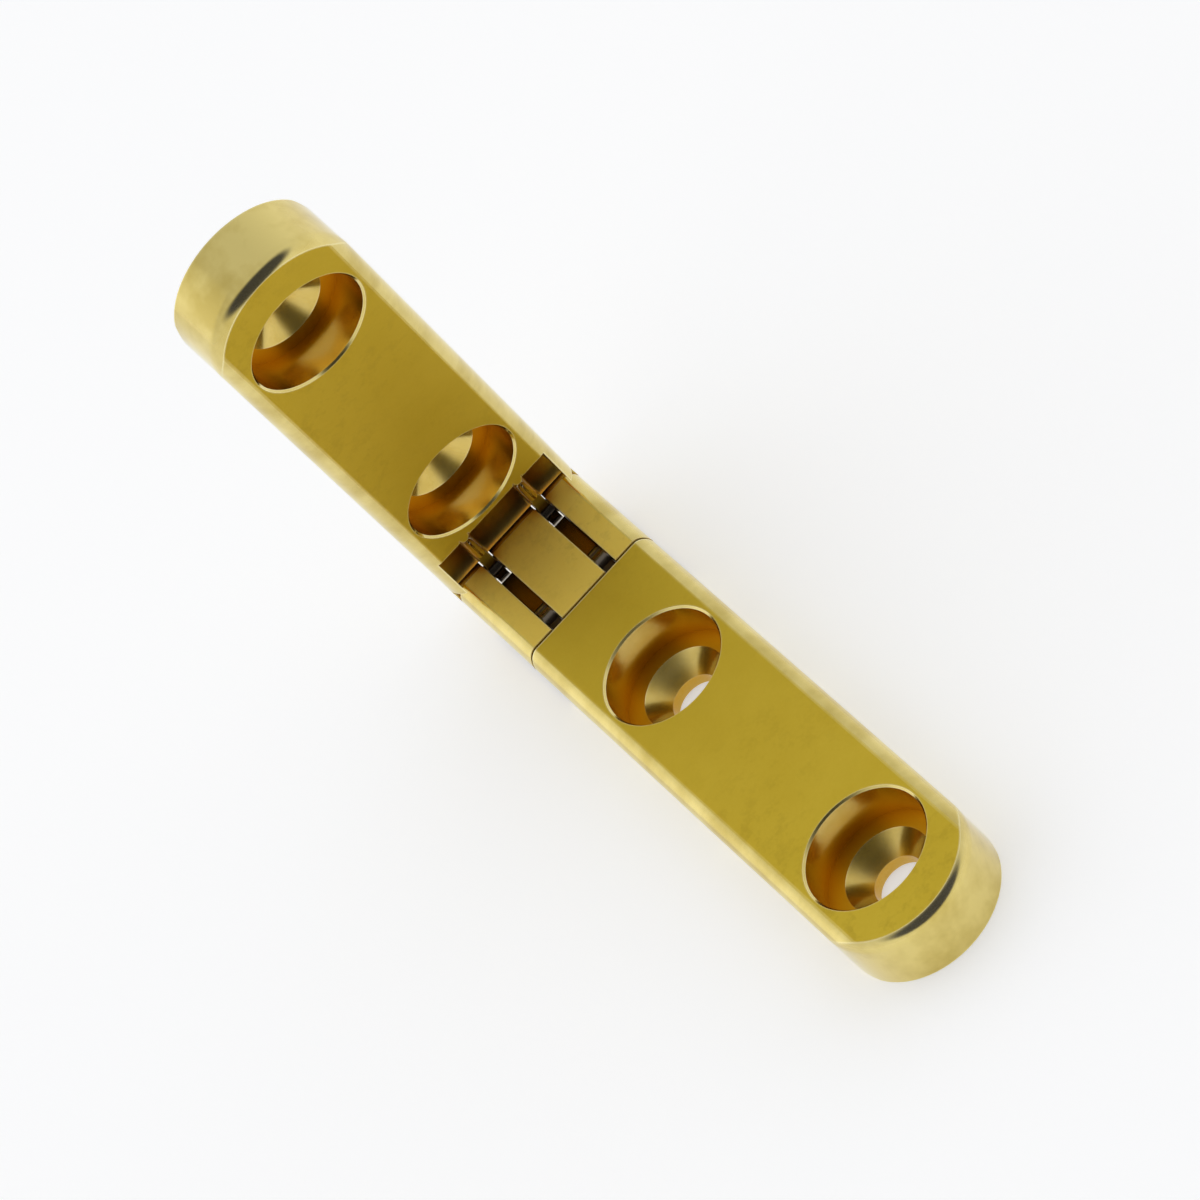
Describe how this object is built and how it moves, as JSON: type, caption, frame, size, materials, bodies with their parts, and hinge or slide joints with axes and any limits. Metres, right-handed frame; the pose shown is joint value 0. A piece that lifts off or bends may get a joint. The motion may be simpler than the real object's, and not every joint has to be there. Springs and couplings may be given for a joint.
{
  "type": "two-pin folding hinge",
  "caption": "Folding hinge of round-ended brass bars with countersunk screw holes, joined by slotted links on pins, for sinking flush into table tops and flaps.",
  "frame": {"origin": "midway between the right leaf's screw holes, on its underside", "axes": "+X along the right leaf towards its round end, +Y along the pins, +Z out of the right leaf's flat"},
  "size_m": [0.0595, 0.012, 0.0503],
  "materials": {
    "leaf_brass": "polished",
    "link_brass": "polished",
    "pin_steel": "polished"
  },
  "bodies": {
    "right_leaf": {"right_leaf": "leaf_brass"},
    "links": {"center_link": "link_brass", "upper_outer_link": "link_brass", "lower_outer_link": "link_brass", "right_pin": "pin_steel", "left_pin": "pin_steel"},
    "left_leaf": {"left_leaf": "leaf_brass"}
  },
  "joints": [
    {"name": "right_pivot", "type": "hinge", "parent": "right_leaf", "child": "links", "pos_m": [-0.02683, 0, 0.00355], "axis": [0, 1, 0], "range_deg": [0, 62]},
    {"name": "left_pivot", "type": "hinge", "parent": "links", "child": "left_leaf", "pos_m": [-0.03487, 0, 0.00355], "axis": [0, 1, 0], "range_deg": [-108, 10]}
  ]
}
